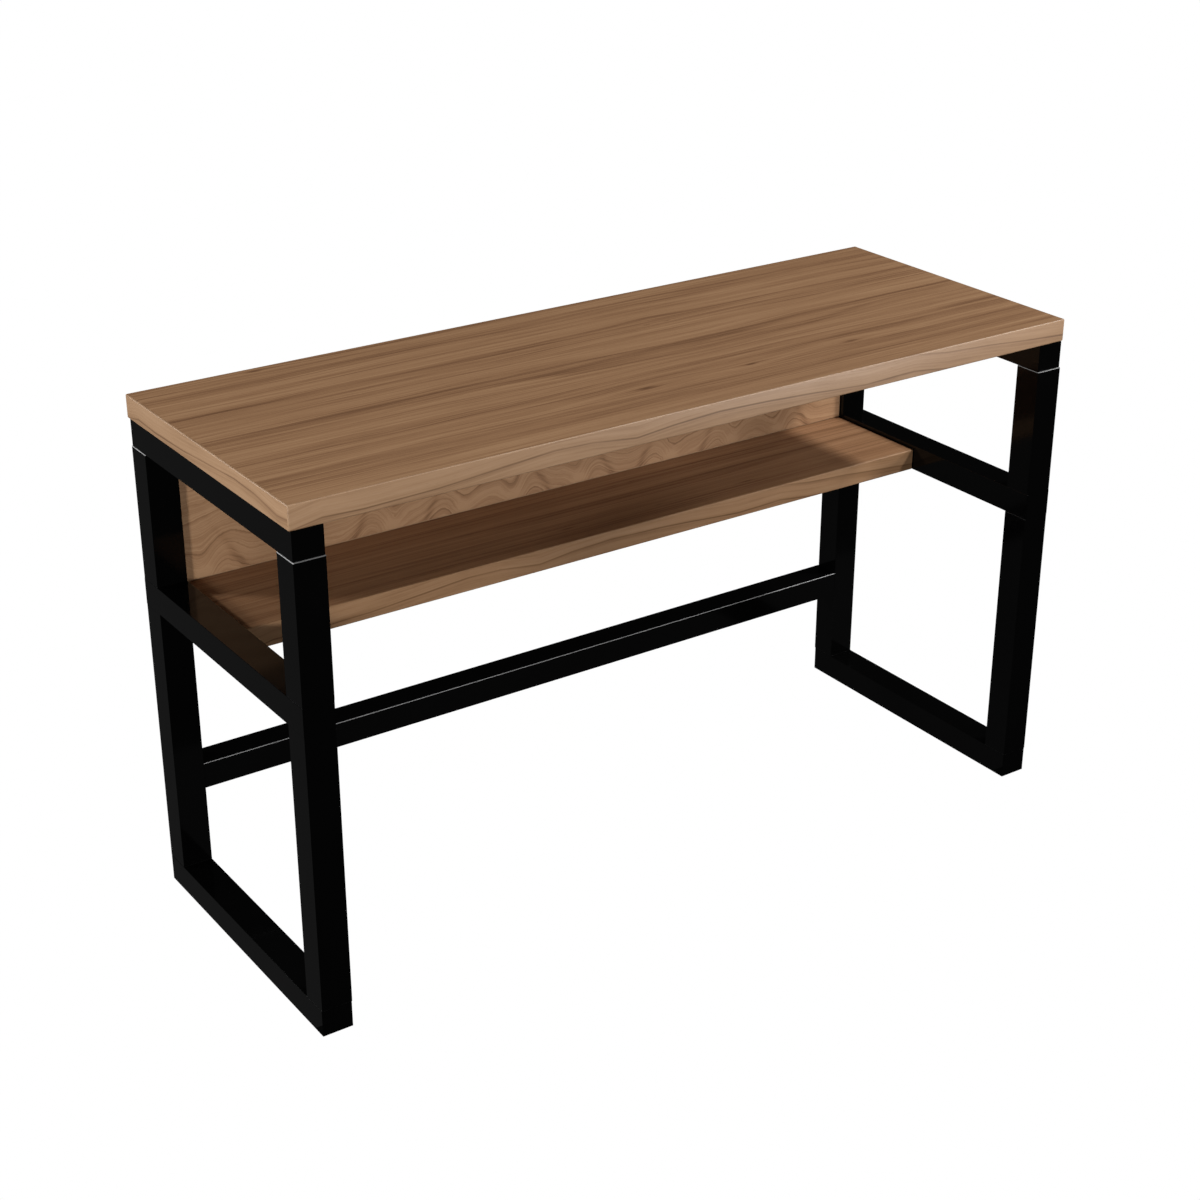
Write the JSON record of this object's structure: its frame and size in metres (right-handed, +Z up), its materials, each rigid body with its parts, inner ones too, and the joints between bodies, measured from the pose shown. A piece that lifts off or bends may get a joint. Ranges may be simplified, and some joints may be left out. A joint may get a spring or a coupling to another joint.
{
  "type": "computer desk with fixed keyboard shelf",
  "caption": "Thick walnut-look desktop on two black steel box-tube side frames, with a fixed keyboard shelf and back panel between them and a rear stretcher.",
  "frame": {"origin": "centre of the footprint, on the floor", "axes": "+X along the desk to the user's right, +Y away from the user towards the back panel, +Z up"},
  "size_m": [1.21, 0.4516, 0.72],
  "materials": {
    "walnut_laminate": "satin laminate, walnut look",
    "walnut_edging": "satin edging, lighter walnut look",
    "black_steel": "smooth satin-gloss black paint",
    "zinc_steel": "bright zinc plate",
    "beech": "raw beech dowel"
  },
  "bodies": {
    "root": {"desktop_core": "walnut_laminate", "desktop_edge_front": "walnut_edging", "desktop_edge_rear": "walnut_edging", "desktop_edge_left": "walnut_edging", "desktop_edge_right": "walnut_edging", "shelf_core": "walnut_laminate", "shelf_edge_front": "walnut_edging", "shelf_edge_rear": "walnut_edging", "shelf_edge_left": "walnut_edging", "shelf_edge_right": "walnut_edging", "back_panel_core": "walnut_laminate", "back_panel_edge_bottom": "walnut_edging", "back_panel_edge_top": "walnut_edging", "back_panel_edge_left": "walnut_edging", "back_panel_edge_right": "walnut_edging", "left_top_rail": "black_steel", "left_top_rail_front_cap": "black_steel", "left_top_rail_rear_cap": "black_steel", "left_middle_rail": "black_steel", "left_middle_rail_front_cap": "black_steel", "left_middle_rail_rear_cap": "black_steel", "left_bottom_rail": "black_steel", "left_bottom_rail_front_cap": "black_steel", "left_bottom_rail_rear_cap": "black_steel", "left_front_leg_upper": "black_steel", "left_front_leg_lower": "black_steel", "left_rear_leg_upper": "black_steel", "left_rear_leg_lower": "black_steel", "right_top_rail": "black_steel", "right_top_rail_front_cap": "black_steel", "right_top_rail_rear_cap": "black_steel", "right_middle_rail": "black_steel", "right_middle_rail_front_cap": "black_steel", "right_middle_rail_rear_cap": "black_steel", "right_bottom_rail": "black_steel", "right_bottom_rail_front_cap": "black_steel", "right_bottom_rail_rear_cap": "black_steel", "right_front_leg_upper": "black_steel", "right_front_leg_lower": "black_steel", "right_rear_leg_upper": "black_steel", "right_rear_leg_lower": "black_steel", "rear_stretcher": "black_steel", "left_desktop_screw_front": "zinc_steel", "left_shelf_lug_front": "black_steel", "left_shelf_screw_front": "zinc_steel", "left_desktop_screw_rear": "zinc_steel", "left_shelf_lug_rear": "black_steel", "left_shelf_screw_rear": "zinc_steel", "right_desktop_screw_front": "zinc_steel", "right_shelf_lug_front": "black_steel", "right_shelf_screw_front": "zinc_steel", "right_desktop_screw_rear": "zinc_steel", "right_shelf_lug_rear": "black_steel", "right_shelf_screw_rear": "zinc_steel", "back_panel_screw_left": "zinc_steel", "back_panel_screw_middle": "zinc_steel", "back_panel_screw_right": "zinc_steel", "back_panel_dowel_left": "beech", "back_panel_dowel_right": "beech"}
  },
  "joints": []
}
